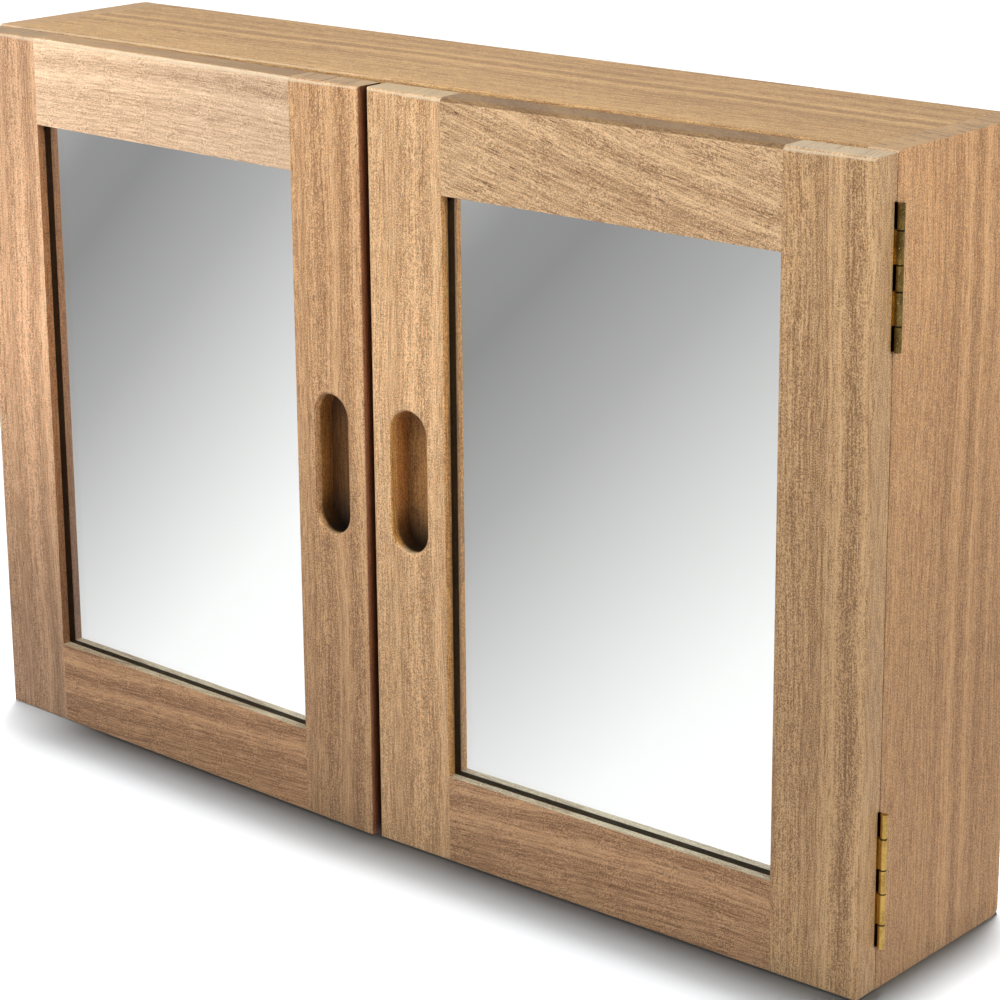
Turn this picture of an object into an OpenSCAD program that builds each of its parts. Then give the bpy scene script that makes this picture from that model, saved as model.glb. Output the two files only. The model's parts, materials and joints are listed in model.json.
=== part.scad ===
// Mirrored wall cabinet in solid wood, with two framed mirror doors on brass butt hinges.
// Millimetres. X runs to the right, Y to the wall and Z up. The origin is the middle of the
// outline's bottom, with the doors standing a little open as they rest.

/* [Case] */
// Outside width of the case
case_w = 660; // [600:10:760]
// Outside height of the case
case_h = 440; // [420:10:520]
// Depth of the case without its doors
case_d = 120; // [110:1:160]
// Thickness of the side, top and bottom boards
board_t = 18; // [17:0.5:22]
// Radius on the case's upright back edges
case_round = 3; // [1:0.5:5]
// Radius on the lower back corner of the case's sides
corner_round = 8; // [3:1:8]
// Radius on the case's top front edge
front_round = 2; // [0.5:0.5:3]

/* [Back] */
// Thickness of the back panel
back_t = 5; // [4:0.5:7]
// Width of the rebate round the inside of the case that the back panel lies in
back_rebate = 9; // [7:0.5:11]
// Gap round the back panel in its rebate
back_clear = 0.25; // [0.1:0.05:0.5]
// Height of the hanging rail
rail_h = 50; // [40:1:60]
// Thickness of the hanging rail
rail_t = 15; // [12:0.5:18]
// Distance between the two wall screw holes
wall_hole_pitch = 500; // [400:10:520]
// Diameter of the wall screw holes
wall_hole_d = 5; // [4:0.5:6]
// Diameter of the brads that hold the back panel
back_brad_d = 1.6; // [1.4:0.1:2]
// Length of those brads
back_brad_l = 22; // [18:1:25]
// Brads along the top and along the bottom of the back panel
back_brads_x = 5; // [4:1:7]
// Brads along each side of the back panel
back_brads_z = 3; // [2:1:5]

/* [Dowels] */
// Diameter of the case dowels
dowel_d = 8; // [6:0.5:8]
// Depth of a dowel in the side board
dowel_in_side = 12; // [10:0.5:14]
// Depth of a dowel in the board that meets the side
dowel_in_board = 24; // [20:1:30]
// Distance from a board's edge to its outer dowels
dowel_edge = 20; // [15:1:25]
// Spare depth at each end of a dowel hole
dowel_spare = 1; // [0.5:0.5:2]

/* [Shelves] */
// Thickness of a shelf
shelf_t = 12; // [10:0.5:16]
// Distance from the case's front edge back to a shelf
shelf_setback = 8; // [5:1:15]
// Gap between a shelf and what it stands beside
shelf_clear = 1; // [0.5:0.25:2]
// Radius on a shelf's front edges
shelf_round = 2; // [1:0.5:4]
// Depth of the flat on top of a shelf pin, where the shelf lies
pin_flat = 0.5; // [0.2:0.1:1]
// Diameter of the shelf pins
pin_d = 5; // [4.5:0.5:6]
// Depth of a shelf pin in the side
pin_in = 9; // [7:0.5:11]
// Length of a shelf pin outside the side
pin_out = 8; // [7:0.5:11]
// Diameter of the collar on a shelf pin
pin_collar_d = 8; // [7.5:0.5:10]
// Thickness of that collar
pin_collar_t = 1; // [0.8:0.1:1.5]
// Spare depth of the pin holes
pin_spare = 1; // [0.5:0.25:2]
// Distance between the rows of pin holes
pin_pitch = 32; // [25:1:34]
// Rows of pin holes
pin_rows = 7; // [5:1:8]
// Distance from the case's front edge, and from the back panel, to the pin holes
pin_inset = 28; // [25:1:35]
// Row that carries the lower shelf, counted from the lowest
lower_shelf_row = 1; // [0:1:1]

/* [Doors] */
// Thickness of the doors
door_t = 18; // [17:0.5:22]
// Angle that the left door stands open at rest
left_ajar = 1.25; // [0:0.05:3]
// Angle that the right door stands open at rest
right_ajar = 0.95; // [0:0.05:3]
// Gap between the two doors
meeting_gap = 3; // [2:0.5:5]
// Gap between a shut door and the case
shut_gap = 0.5; // [0.3:0.1:1]
// Distance from the case's top down to the doors
door_top_gap = 1; // [0.5:0.5:3]
// Distance from the case's foot up to the doors
door_foot_gap = 0.4; // [0.3:0.1:3]
// Width of the stiles
stile_w = 54; // [50:1:65]
// Width of the top rails
top_rail_w = 53; // [48:1:65]
// Width of the bottom rails
bottom_rail_w = 51.5; // [48:0.5:65]
// Radius on the doors' front edges at the top and the sides
door_round = 3; // [1:0.5:4]
// Radius on the doors' lower front edge
door_foot_round = 1; // [0.5:0.5:3]
// Length of the tenons
tenon_l = 22; // [16:1:24]
// Thickness of the tenons
tenon_t = 8; // [6:0.5:9]
// Shoulder between a tenon and the mirror's rebate
tenon_shoulder = 2; // [1:0.5:3]
// Shoulder between a tenon and the rail's outer edge
tenon_haunch = 12; // [10:1:15]
// Gap between a tenon and its mortise, for the glue
tenon_clear = 0.1; // [0.05:0.05:0.2]
// Spare depth of the mortises
mortise_spare = 1; // [0.5:0.5:2]

/* [Mirrors] */
// Thickness of the wood in front of the mirror's edge
lip_t = 5.25; // [4:0.25:6.5]
// Width of the rebate that the mirror lies in
rebate_w = 8; // [7:0.5:9]
// Thickness of the mirror
mirror_t = 5; // [4:0.5:6]
// Thickness of the backing board
backing_t = 3; // [2:0.5:4]
// Gap round the mirror and its backing
mirror_clear = 0.5; // [0.25:0.25:1]
// Width of the beads that hold the mirror
bead_w = 9; // [7:0.5:12]
// Radius on the beads' inner edge
bead_round = 2; // [1:0.5:2.5]
// Gap round the beads
bead_clear = 0.2; // [0.1:0.05:0.3]
// Gap in the mitres between the beads, along each bead
mitre_gap = 0.1; // [0.05:0.05:0.3]
// Diameter of the brads through the beads
bead_brad_d = 1.2; // [1:0.1:1.4]
// Depth of those brads in the frame
bead_brad_in = 9; // [7:1:12]

/* [Finger recesses] */
// Height of a finger recess
recess_h = 82; // [60:1:100]
// Width of a finger recess
recess_w = 26; // [20:1:30]
// Depth of a finger recess
recess_d = 14; // [8:0.5:14]
// Radius on the recess's rim
recess_rim = 2; // [1:0.5:3]

/* [Hinges] */
// Length of a hinge
hinge_l = 74; // [65:1:85]
// Distance from the case's top or bottom to the nearer end of a hinge
hinge_inset = 25; // [20:1:40]
// Thickness of a leaf
leaf_t = 1; // [0.8:0.1:1.2]
// Width of a leaf on the wood
leaf_w = 15; // [13:0.5:16]
// Gap between the leaves of a shut hinge
leaf_gap = 0.2; // [0.1:0.05:0.4]
// Distance from the case's side out to the hinge pin
pin_proud = 3.4; // [3:0.1:5]
// Outside diameter of the knuckles
knuckle_d = 3.8; // [3.6:0.1:4.6]
// Diameter of the hinge pin
hinge_pin_d = 2.2; // [1.8:0.1:2.4]
// Gap round the hinge pin in the door's knuckles
hinge_pin_clear = 0.05; // [0.02:0.01:0.1]
// Chamfer on the ends of the hinge pin
hinge_pin_chamfer = 0.3; // [0.1:0.1:0.5]
// Length of the two knuckles on the door's leaf
door_knuckle_l = 17; // [14:0.5:19]
// Gap between neighbouring knuckles
knuckle_gap = 0.2; // [0.1:0.05:0.4]
// Distance that a leaf is cut back beside the other leaf's knuckles, from the wood's edge
leaf_notch = 0.8; // [0.5:0.1:1.5]
// Gap round a leaf in its mortise
hinge_mortise_clear = 0.5; // [0.3:0.1:0.8]
// Distance from a hinge's end to its outer screws
hinge_screw_inset = 10.5; // [8:0.5:16]

/* [Screws] */
// Diameter of the screw shanks
screw_d = 2.8; // [2.4:0.1:3]
// Diameter of the screw heads
screw_head_d = 5.4; // [5:0.1:6]
// Length of a screw below its head
screw_l = 12; // [10:0.5:13]
// Length of a screw's point
screw_point = 3; // [2:0.5:4]
// Diameter at the tip of a screw's point
screw_tip_d = 0.4; // [0.3:0.1:0.6]
// Width of the cross in a screw's head
screw_cross_w = 0.6; // [0.5:0.1:0.8]
// Length of that cross
screw_cross_l = 2.8; // [2.4:0.1:3.2]
// Gap between a head and its countersink
screw_clear = 0.1; // [0.05:0.05:0.2]

/* [Catches] */
// Width of a catch's body
catch_w = 26; // [24:1:30]
// Height of a catch's body
catch_h = 14; // [12:0.5:16]
// Depth of a catch's body
catch_l = 16; // [14:0.5:20]
// Thickness of a catch's walls and ears
catch_wall = 2.5; // [2:0.25:3]
// Width of each fixing ear
catch_ear = 10; // [9:0.5:12]
// Height of the magnet
magnet_h = 5; // [4:0.5:6]
// Thickness of the two pole plates beside the magnet
pole_t = 1.5; // [1:0.25:2]
// Distance that the pole plates stand out of the catch
pole_proud = 0.8; // [0.5:0.1:1.5]
// Gap between a strike plate and the pole plates when the door is shut
strike_gap = 0.3; // [0.2:0.1:0.5]
// Width of a strike plate
strike_w = 30; // [26:1:34]
// Height of a strike plate
strike_h = 12; // [10:0.5:14]
// Thickness of a strike plate
strike_t = 1.2; // [1:0.1:1.5]

/* [Hidden] */
$fn = 48;
// Overshoot of a cutter past the face that it opens
over = 1;

// Hinge line, from the case's front edge and from the door's back face
axis_front = leaf_t + leaf_gap / 2;
axis_behind = axis_front - shut_gap;
door_w = (case_w - meeting_gap) / 2;

// Distance from the hinge line forward to the door's foremost point when it stands open
function reach(ajar) = (pin_proud + door_w - door_round) * sin(ajar)
    + (door_t - axis_behind - door_round) * cos(ajar) + door_round;
wall_y = (max(reach(left_ajar), reach(right_ajar)) + axis_front + case_d) / 2;
front_y = wall_y - case_d;
axis_y = front_y - axis_front;

// Inside faces of the case
inner_x = case_w / 2 - board_t;
inner_top = case_h - board_t;
back_y = wall_y - back_t;

// Door frame
door_bottom = door_foot_gap;
door_top = case_h - door_top_gap;
window_x = [stile_w, door_w - stile_w];
window_z = [door_bottom + bottom_rail_w, door_top - top_rail_w];
rebate_d = door_t - lip_t;
bead_t = rebate_d - mirror_t - backing_t;
leaf_mortise_d = axis_behind + leaf_gap / 2 + leaf_t;
// The screw heads fill the thickness of a leaf
screw_head_h = leaf_t;

// Middles of the hinges
upper_hinge_z = case_h - hinge_inset - hinge_l / 2;
lower_hinge_z = hinge_inset + hinge_l / 2;
case_knuckle_l = (hinge_l - 2 * door_knuckle_l - 4 * knuckle_gap) / 3;
leaf_reach = pin_proud + leaf_w;

// Catches: across from the cabinet's middle, and up
strike_x = door_w - stile_w / 2;
catch_x = strike_x - case_w / 2;
catch_z = inner_top - catch_h / 2;
catch_front = front_y - shut_gap + strike_t + strike_gap + pole_proud;

// Shelves and their pins
upper_shelf_row = pin_rows - 1 - lower_shelf_row;
pin_cols = [front_y + pin_inset, back_y - pin_inset];
function row_z(i) = case_h / 2 + (i - (pin_rows - 1) / 2) * pin_pitch;
function shelf_z(i) = row_z(i) + pin_d / 2 - pin_flat;

// Dowel places in a top or bottom board, from front to back
dowel_y = [for (i = [0:2]) front_y + dowel_edge + i * (case_d - back_t - 2 * dowel_edge) / 2];

// Outline of the back panel's rebate, across and up, and the lines of brads in its middle
pocket_x = inner_x + back_rebate;
pocket_z = [board_t - back_rebate, inner_top + back_rebate];
brad_x = pocket_x - (back_rebate + back_clear) / 2;
brad_z = [pocket_z[0] + (back_rebate + back_clear) / 2, pocket_z[1] - (back_rebate + back_clear) / 2];

light_wood = "#d9b383";
warm_wood = "#c79a66";
plywood = "#d8bf95";
brass = "#b8923e";
steel = "#b9babb";

// Everything is drawn for the left side, and the right side is its mirror image
module left() { children(); }
module right() { mirror([1, 0, 0]) children(); }
module both() {
    left() children();
    right() children();
}

// Puts a piece from the hinge line's own frame at its place, on a door that stands open
module on_hinge_line(ajar = 0) {
    translate([-case_w / 2 - pin_proud, axis_y, 0])
        rotate([0, 0, -ajar])
            children();
}

// Puts a piece from a door's frame in place: x from its outer edge, y from its back face
module in_door(ajar) {
    on_hinge_line(ajar)
        translate([pin_proud, axis_behind, 0])
            children();
}
module left_door() { in_door(left_ajar) children(); }
module right_door() { right() in_door(right_ajar) children(); }

// A box between two corners
module block(low, high) {
    translate(low) cube(high - low);
}

// What a round takes off a square corner at the origin that lies towards +x and +y
module corner_sliver(r) {
    difference() {
        translate([-over, -over]) square(r + over);
        translate([r, r]) circle(r);
    }
}

// A bar of one section along X, or along Z
module along_x(x0, x1) {
    translate([x0, 0, 0])
        rotate([90, 0, 90])
            linear_extrude(x1 - x0) children();
}
module along_z(z0, z1) {
    translate([0, 0, z0]) linear_extrude(z1 - z0) children();
}

// A countersunk screw whose head lies in the plane z = 0 and whose point is at -z
module screw() {
    color(brass) difference() {
        union() {
            translate([0, 0, -screw_head_h]) cylinder(screw_head_h, d1 = screw_d, d2 = screw_head_d);
            translate([0, 0, -screw_l]) cylinder(screw_l - screw_head_h, d = screw_d);
            screw_tip();
        }
        for (a = [0, 90]) rotate([0, 0, a])
            block([-screw_cross_l / 2, -screw_cross_w / 2, -screw_head_h / 2],
                  [screw_cross_l / 2, screw_cross_w / 2, over]);
    }
}
module screw_tip() {
    translate([0, 0, -screw_l - screw_point]) cylinder(screw_point, d1 = screw_tip_d, d2 = screw_d);
}

// The countersunk hole for that screw through a plate, and its pilot hole in the wood
module screw_hole() {
    translate([0, 0, -screw_head_h])
        cylinder(screw_head_h, d1 = screw_d + 2 * screw_clear, d2 = screw_head_d + 2 * screw_clear);
    translate([0, 0, -screw_l]) cylinder(screw_l, d = screw_d + 2 * screw_clear);
}
module screw_pilot() {
    translate([0, 0, -screw_l]) cylinder(screw_l + over, d = screw_d);
    screw_tip();
}

// Case

// The rebate for the back panel, cut into all four boards
module back_pocket() {
    block([-pocket_x, back_y, pocket_z[0]], [pocket_x, wall_y + over, pocket_z[1]]);
}

// The round along the top front edge of the case
module top_front_round() {
    along_x(-case_w / 2 - over, case_w / 2 + over)
        translate([front_y, case_h]) mirror([0, 1]) corner_sliver(front_round);
}

// The places of the brads round the back panel, with their heads towards the wall
module at_back_brads() {
    for (i = [1 : back_brads_x])
        for (z = brad_z)
            translate([(2 * i / (back_brads_x + 1) - 1) * brad_x, wall_y, z])
                rotate([90, 0, 0]) children();
    for (i = [1 : back_brads_z])
        for (x = [-brad_x, brad_x])
            translate([x, wall_y, brad_z[0] + i * (brad_z[1] - brad_z[0]) / (back_brads_z + 1)])
                rotate([90, 0, 0]) children();
}
module back_brad_holes() {
    at_back_brads() translate([0, 0, -over]) cylinder(back_brad_l + over, d = back_brad_d, $fn = 24);
}

// The dowels on the left side, each along X
module at_dowels() {
    for (y = dowel_y)
        for (z = [board_t / 2, case_h - board_t / 2])
            translate([-inner_x, y, z]) children();
    for (dz = [-rail_h / 4, rail_h / 4])
        translate([-inner_x, back_y - rail_t / 2, inner_top - rail_h / 2 + dz]) children();
}
module dowel_holes() {
    at_dowels() along_x(-dowel_in_side - dowel_spare, dowel_in_board + dowel_spare)
        circle(d = dowel_d);
}

// Left side board, with the pin holes on its inner face
module side_board() {
    color(warm_wood) difference() {
        block([-case_w / 2, front_y, 0], [-inner_x, wall_y, case_h]);
        along_z(-over, case_h + over)
            translate([-case_w / 2, wall_y]) mirror([0, 1]) corner_sliver(case_round);
        along_x(-case_w / 2 - over, over - inner_x)
            translate([wall_y, 0]) mirror([1, 0]) corner_sliver(corner_round);
        top_front_round();
        back_pocket();
        back_brad_holes();
        dowel_holes();
        for (i = [0 : pin_rows - 1])
            for (y = pin_cols)
                translate([-inner_x, y, row_z(i)])
                    along_x(-pin_in - pin_spare, over) circle(d = pin_d, $fn = 24);
        for (z = [lower_hinge_z, upper_hinge_z])
            on_hinge_line() translate([0, 0, z]) at_case_leaf_screws() screw_pilot();
    }
}

// Board between the sides, less what its children take off
module cross_board(z0, z1) {
    color(light_wood) difference() {
        block([-inner_x, front_y, z0], [inner_x, wall_y, z1]);
        back_pocket();
        back_brad_holes();
        both() dowel_holes();
        children();
    }
}
module top_panel() {
    cross_board(inner_top, case_h) {
        top_front_round();
        both() at_catch_screws() screw_pilot();
    }
}
module bottom_panel() { cross_board(0, board_t); }

// Thin back panel, drilled for the wall screws
module back_panel() {
    color(plywood) difference() {
        block([back_clear - pocket_x, back_y, pocket_z[0] + back_clear],
              [pocket_x - back_clear, wall_y, pocket_z[1] - back_clear]);
        wall_holes();
        back_brad_holes();
    }
}

// Rail behind the top board that carries the cabinet on the wall
module hanging_rail() {
    color(light_wood) difference() {
        block([-inner_x, back_y - rail_t, inner_top - rail_h], [inner_x, back_y, inner_top]);
        wall_holes();
        both() dowel_holes();
    }
}
module wall_holes() {
    both() translate([-wall_hole_pitch / 2, wall_y + over, inner_top - rail_h / 2])
        rotate([90, 0, 0]) cylinder(back_t + rail_t + 2 * over, d = wall_hole_d);
}

module case_dowels() {
    color(light_wood) both() at_dowels()
        along_x(-dowel_in_side, dowel_in_board) circle(d = dowel_d);
}

module back_brads() {
    color(steel) at_back_brads() cylinder(back_brad_l, d = back_brad_d, $fn = 24);
}

// Shelf on the pins of one row, with both front edges rounded
module shelf(row) {
    z = shelf_z(row);
    low_y = front_y + shelf_setback;
    color(light_wood) difference() {
        block([-inner_x + shelf_clear, low_y, z],
              [inner_x - shelf_clear, back_y - shelf_clear, z + shelf_t]);
        along_x(-inner_x, inner_x) translate([low_y, z]) corner_sliver(shelf_round);
        along_x(-inner_x, inner_x)
            translate([low_y, z + shelf_t]) mirror([0, 1]) corner_sliver(shelf_round);
    }
}

// The four pins of one row, each with a collar and with a flat under the shelf
module shelf_pins(row) {
    color(brass) both() for (y = pin_cols)
        translate([-inner_x, y, row_z(row)]) difference() {
            union() {
                along_x(-pin_in, pin_out) circle(d = pin_d, $fn = 24);
                along_x(0, pin_collar_t) circle(d = pin_collar_d, $fn = 24);
            }
            block([0, -pin_collar_d, pin_d / 2 - pin_flat], [pin_out + over, pin_collar_d, pin_collar_d]);
        }
}

// Magnetic catches

// The two screws of a catch, up into the top board
module at_catch_screws() {
    for (s = [-1, 1])
        translate([catch_x + s * (catch_w + catch_ear) / 2, catch_front + catch_l / 2,
                   inner_top - catch_wall])
            rotate([180, 0, 0]) children();
}

// Housing with an ear on each side, open at the front for the magnet
module catch_housing() {
    color("ivory") difference() {
        union() {
            block([catch_x - catch_w / 2, catch_front, inner_top - catch_h],
                  [catch_x + catch_w / 2, catch_front + catch_l, inner_top]);
            block([catch_x - catch_w / 2 - catch_ear, catch_front + catch_wall, inner_top - catch_wall],
                  [catch_x + catch_w / 2 + catch_ear, catch_front + catch_l - catch_wall, inner_top]);
        }
        block([catch_x - catch_w / 2 + catch_wall, catch_front - over, catch_z - magnet_h / 2 - pole_t],
              [catch_x + catch_w / 2 - catch_wall, catch_front + catch_l - catch_wall,
               catch_z + magnet_h / 2 + pole_t]);
        at_catch_screws() screw_hole();
    }
}

// Bar magnet, and the pole plates above and below it
module catch_magnet() {
    color("dimgray")
        block([catch_x - catch_w / 2 + catch_wall, catch_front, catch_z - magnet_h / 2],
              [catch_x + catch_w / 2 - catch_wall, catch_front + catch_l - catch_wall,
               catch_z + magnet_h / 2]);
}
module catch_poles() {
    color(steel) for (z = [catch_z - magnet_h / 2 - pole_t, catch_z + magnet_h / 2])
        block([catch_x - catch_w / 2 + catch_wall, catch_front - pole_proud, z],
              [catch_x + catch_w / 2 - catch_wall, catch_front + catch_l - catch_wall, z + pole_t]);
}

// Hinges, on the hinge line: the case's leaf on the +y side and the door's leaf on the -y side

function is_case_knuckle(i) = i % 2 == 0;
function knuckle_l(i) = is_case_knuckle(i) ? case_knuckle_l : door_knuckle_l;
function knuckle_z(i) = i == 0 ? -hinge_l / 2 : knuckle_z(i - 1) + knuckle_l(i - 1) + knuckle_gap;

module at_leaf_screws(turn, y) {
    outer_z = hinge_l / 2 - hinge_screw_inset;
    for (z = [-outer_z, 0, outer_z])
        translate([pin_proud + leaf_w / 2, y, z]) rotate([turn, 0, 0]) children();
}
module at_case_leaf_screws() { at_leaf_screws(90, leaf_gap / 2) children(); }
module at_door_leaf_screws() { at_leaf_screws(-90, -leaf_gap / 2) children(); }

// A leaf is a plate with its own knuckles, cut back beside the other leaf's
module leaf(case_leaf) {
    y0 = case_leaf ? leaf_gap / 2 : -leaf_gap / 2 - leaf_t;
    color(brass) difference() {
        union() {
            difference() {
                block([0, y0, -hinge_l / 2], [leaf_reach, y0 + leaf_t, hinge_l / 2]);
                for (i = [0:4]) if (is_case_knuckle(i) != case_leaf)
                    block([-over, y0 - over, knuckle_z(i) - knuckle_gap],
                          [pin_proud + leaf_notch, y0 + leaf_t + over,
                           knuckle_z(i) + knuckle_l(i) + knuckle_gap]);
            }
            for (i = [0:4]) if (is_case_knuckle(i) == case_leaf)
                along_z(knuckle_z(i), knuckle_z(i) + knuckle_l(i)) circle(d = knuckle_d);
        }
        along_z(-hinge_l / 2 - over, hinge_l / 2 + over)
            circle(d = hinge_pin_d + (case_leaf ? 0 : 2 * hinge_pin_clear));
        if (case_leaf) at_case_leaf_screws() screw_hole();
        if (!case_leaf) at_door_leaf_screws() screw_hole();
    }
}

// Pin that is held by the case's knuckles, while the door's knuckles turn on it
module hinge_pin() {
    end_z = hinge_l / 2 - hinge_pin_chamfer;
    color(brass) {
        along_z(-end_z, end_z) circle(d = hinge_pin_d);
        for (s = [0, 1]) mirror([0, 0, s]) translate([0, 0, end_z])
            cylinder(hinge_pin_chamfer, d1 = hinge_pin_d, d2 = hinge_pin_d - 2 * hinge_pin_chamfer);
    }
}

module case_leaf_at(z) { on_hinge_line() translate([0, 0, z]) leaf(true); }
module door_leaf_at(z, ajar) { on_hinge_line(ajar) translate([0, 0, z]) leaf(false); }
module hinge_pin_at(z) { on_hinge_line() translate([0, 0, z]) hinge_pin(); }

module case_hinge_screws() {
    both() for (z = [lower_hinge_z, upper_hinge_z])
        on_hinge_line() translate([0, 0, z]) at_case_leaf_screws() screw();
}
module door_hinge_screws(ajar) {
    for (z = [lower_hinge_z, upper_hinge_z])
        on_hinge_line(ajar) translate([0, 0, z]) at_door_leaf_screws() screw();
}

// Doors, in the door's own frame

// The rounds along a door's outer front edges
module door_rounds() {
    along_z(-over, case_h + over) {
        translate([0, -door_t]) corner_sliver(door_round);
        translate([door_w, -door_t]) mirror([1, 0]) corner_sliver(door_round);
    }
    along_x(-over, door_w + over) {
        translate([-door_t, door_bottom]) corner_sliver(door_foot_round);
        translate([-door_t, door_top]) mirror([0, 1]) corner_sliver(door_round);
    }
}

// The pocket behind the window that takes mirror, backing and beads
module mirror_pocket() {
    block([window_x[0] - rebate_w, -rebate_d, window_z[0] - rebate_w],
          [window_x[1] + rebate_w, over, window_z[1] + rebate_w]);
}

// The tenons of both rails, or with a gap their mortises
module rail_tenons(low_z, high_z, gap = 0, spare = 0) {
    low_y = -(door_t + tenon_t) / 2;
    block([window_x[0] - tenon_l - spare, low_y - gap, low_z - gap],
          [window_x[1] + tenon_l + spare, low_y + tenon_t + gap, high_z + gap]);
}
top_tenon_z = [window_z[1] + rebate_w + tenon_shoulder, door_top - tenon_haunch];
bottom_tenon_z = [door_bottom + tenon_haunch, window_z[0] - rebate_w - tenon_shoulder];
module mortises() {
    for (z = [top_tenon_z, bottom_tenon_z])
        rail_tenons(z[0], z[1], tenon_clear, mortise_spare);
}

// The places of the bead brads: two in each bead, pointing out into the frame
module at_bead_brads() {
    pocket = [window_x[1] - window_x[0] + 2 * rebate_w, window_z[1] - window_z[0] + 2 * rebate_w];
    translate([(window_x[0] + window_x[1]) / 2, -bead_t / 2, (window_z[0] + window_z[1]) / 2])
        for (q = [0:3]) {
            run = pocket[q % 2];
            rotate([0, 90 * q, 0]) for (s = [-1, 1])
                translate([s * run / 4, 0, bead_w - pocket[(q + 1) % 2] / 2]) children();
        }
}
module bead_brad() {
    translate([0, 0, -bead_w - bead_brad_in]) cylinder(bead_w + bead_brad_in, d = bead_brad_d, $fn = 24);
}

module stile(x0, x1) {
    difference() {
        block([x0, -door_t, door_bottom], [x1, 0, door_top]);
        door_rounds();
        mirror_pocket();
        mortises();
        at_bead_brads() bead_brad();
        children();
    }
}

// Stile on the hinge side, with a mortise for each hinge
module outer_stile() {
    color(warm_wood) stile(0, stile_w) {
        for (z = [lower_hinge_z, upper_hinge_z]) {
            block([-over, -leaf_mortise_d, z - hinge_l / 2 - hinge_mortise_clear],
                  [leaf_w + hinge_mortise_clear, over, z + hinge_l / 2 + hinge_mortise_clear]);
            translate([-pin_proud, -axis_behind, z]) at_door_leaf_screws() screw_pilot();
        }
    }
}

// Stile at the middle of the cabinet, with the finger recess
module meeting_stile() {
    color(warm_wood) stile(door_w - stile_w, door_w) {
        translate([strike_x, -door_t, case_h / 2]) finger_recess();
        at_strike_screw() screw_pilot();
    }
}

// Recess with round ends and a rounded rim, cut from the front face at y = 0 towards +y
module finger_recess() {
    half = recess_w / 2;
    straight = recess_h - recess_w;
    rotate([-90, 0, 0]) {
        translate([0, 0, -over]) {
            for (s = [-1, 1]) translate([0, s * straight / 2, 0]) cylinder(recess_d + over, d = recess_w);
            block([-half, -straight / 2, 0], [half, straight / 2, recess_d + over]);
        }
        for (s = [-1, 1]) {
            translate([0, s * straight / 2, 0])
                rotate_extrude() rim_section();
            mirror([s < 0 ? 1 : 0, 0, 0])
                rotate([90, 0, 0]) translate([0, 0, -straight / 2])
                    linear_extrude(straight) rim_section();
        }
    }
}
module rim_section() {
    translate([recess_w / 2, 0]) difference() {
        translate([-over, -over]) square([recess_rim + over, recess_rim + over]);
        translate([recess_rim, recess_rim]) circle(recess_rim);
        translate([-over * 2, recess_rim]) square([over * 2, over]);
    }
}

// Rail between the stiles, with a tenon at each end
module rail(z0, z1, tenon_z) {
    color(light_wood) difference() {
        union() {
            block([window_x[0], -door_t, z0], [window_x[1], 0, z1]);
            rail_tenons(tenon_z[0], tenon_z[1]);
        }
        door_rounds();
        mirror_pocket();
        at_bead_brads() bead_brad();
    }
}
module top_rail() { rail(window_z[1], door_top, top_tenon_z); }
module bottom_rail() { rail(door_bottom, window_z[0], bottom_tenon_z); }

// A sheet in the pocket, from a depth behind the lip
module pocket_sheet(depth, thickness) {
    edge = rebate_w - mirror_clear;
    block([window_x[0] - edge, depth - rebate_d, window_z[0] - edge],
          [window_x[1] + edge, depth - rebate_d + thickness, window_z[1] + edge]);
}
module mirror_pane() { color("lightsteelblue") pocket_sheet(0, mirror_t); }
module backing() { color(plywood) pocket_sheet(mirror_t, backing_t); }

// Four mitred beads with a rounded inner edge
module beads() {
    pocket = [window_x[1] - window_x[0] + 2 * (rebate_w - bead_clear),
              window_z[1] - window_z[0] + 2 * (rebate_w - bead_clear)];
    color(light_wood) difference() {
        translate([(window_x[0] + window_x[1]) / 2, 0, (window_z[0] + window_z[1]) / 2])
            for (q = [0:3])
                rotate([0, 90 * q, 0])
                    translate([0, 0, -pocket[(q + 1) % 2] / 2]) bead(pocket[q % 2]);
        at_bead_brads() bead_brad();
    }
}
module bead(run) {
    end_x = run / 2 - mitre_gap;
    intersection() {
        along_x(-run / 2, run / 2) difference() {
            translate([-bead_t, 0]) square([bead_t, bead_w]);
            translate([0, bead_w]) mirror([1, 0]) mirror([0, 1]) corner_sliver(bead_round);
        }
        translate([0, over, 0]) rotate([90, 0, 0]) linear_extrude(bead_t + 2 * over)
            polygon([[-end_x, 0], [end_x, 0], [end_x - bead_w, bead_w], [bead_w - end_x, bead_w]]);
    }
}
module bead_brads() { color(steel) at_bead_brads() bead_brad(); }

// Strike plate on the back of the meeting stile, with its screw
module strike_plate() {
    color(steel) difference() {
        translate([strike_x, 0, catch_z]) rotate([-90, 0, 0]) linear_extrude(strike_t) {
            for (s = [-1, 1]) translate([s * (strike_w - strike_h) / 2, 0]) circle(d = strike_h);
            square([strike_w - strike_h, strike_h], center = true);
        }
        at_strike_screw() screw_hole();
    }
}
module at_strike_screw() {
    translate([strike_x, strike_t, catch_z]) rotate([-90, 0, 0]) children();
}

left() side_board();  // left_side
right() side_board();  // right_side
top_panel();
bottom_panel();
back_panel();
hanging_rail();
case_dowels();
back_brads();
shelf(upper_shelf_row);  // upper_shelf
shelf(lower_shelf_row);  // lower_shelf
shelf_pins(upper_shelf_row);  // upper_shelf_pins
shelf_pins(lower_shelf_row);  // lower_shelf_pins

left() catch_housing();  // left_catch_housing
left() catch_magnet();  // left_catch_magnet
left() catch_poles();  // left_catch_poles
right() catch_housing();  // right_catch_housing
right() catch_magnet();  // right_catch_magnet
right() catch_poles();  // right_catch_poles
both() at_catch_screws() screw();  // catch_screws

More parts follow.
